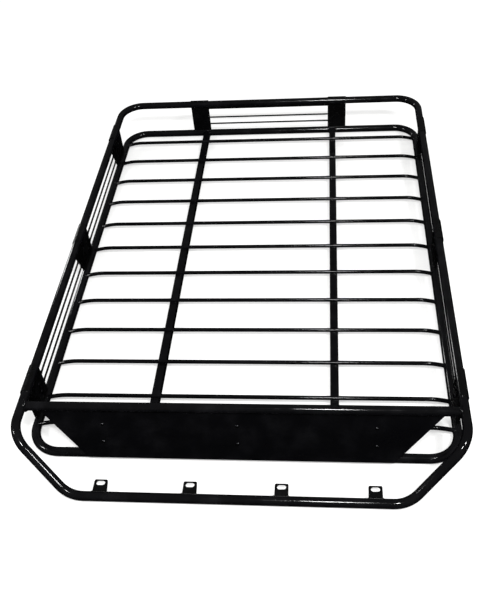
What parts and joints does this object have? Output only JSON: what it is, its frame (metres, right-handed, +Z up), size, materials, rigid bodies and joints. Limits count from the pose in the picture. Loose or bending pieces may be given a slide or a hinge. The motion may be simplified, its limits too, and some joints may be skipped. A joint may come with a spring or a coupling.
{
  "type": "vehicle roof basket",
  "caption": "Welded tube roof basket for a vehicle, with a bar floor, raised side rail, wind fairing and a front lamp hoop.",
  "frame": {"origin": "under the middle of the basket's overall length and width, on the plane it stands on", "axes": "+X to the basket's right-hand side, +Y to its rear, +Z up"},
  "size_m": [1.1804, 1.7028, 0.1579],
  "materials": {
    "tube": "gloss black powder coat on bent steel tube",
    "floor": "gloss black powder coat on steel rod and square tube",
    "plate": "gloss black powder coat on pressed steel plate",
    "sheet": "gloss black powder coat on sheet steel",
    "fastener": "black oxide steel"
  },
  "bodies": {
    "root": {"crossbar_01": "floor", "crossbar_02": "floor", "crossbar_03": "floor", "crossbar_04": "floor", "crossbar_05": "floor", "crossbar_06": "floor", "crossbar_07": "floor", "crossbar_08": "floor", "crossbar_09": "floor", "crossbar_10": "floor", "crossbar_11": "floor", "crossbar_12": "floor", "fairing_rivets": "fastener", "fairing_stay_centre": "plate", "fairing_stay_left": "plate", "fairing_stay_right": "plate", "fairing_tube": "tube", "floor_rail_left": "floor", "floor_rail_right": "floor", "lamp_hoop": "tube", "lamp_tab_1": "plate", "lamp_tab_2": "plate", "lamp_tab_3": "plate", "lamp_tab_4": "plate", "rail_left_tube": "tube", "rail_rear_tube": "tube", "rail_right_tube": "tube", "rear_rod_high": "floor", "rear_rod_low": "floor", "rear_strip": "plate", "rear_upright_left": "plate", "rear_upright_right": "plate", "ring_front_tube": "tube", "ring_left_tube": "tube", "ring_rear_tube": "tube", "ring_right_tube": "tube", "side_rod_left_front_high": "floor", "side_rod_left_front_low": "floor", "side_rod_left_rear_high": "floor", "side_rod_left_rear_low": "floor", "side_rod_right_front_high": "floor", "side_rod_right_front_low": "floor", "side_rod_right_rear_high": "floor", "side_rod_right_rear_low": "floor", "strap_left_front": "plate", "strap_left_middle": "plate", "strap_left_rear": "plate", "strap_right_front": "plate", "strap_right_middle": "plate", "strap_right_rear": "plate", "upright_bolts": "fastener", "upright_left_front": "plate", "upright_left_middle": "plate", "upright_left_rear": "plate", "upright_nuts": "fastener", "upright_right_front": "plate", "upright_right_middle": "plate", "upright_right_rear": "plate", "wind_fairing": "sheet"}
  },
  "joints": []
}
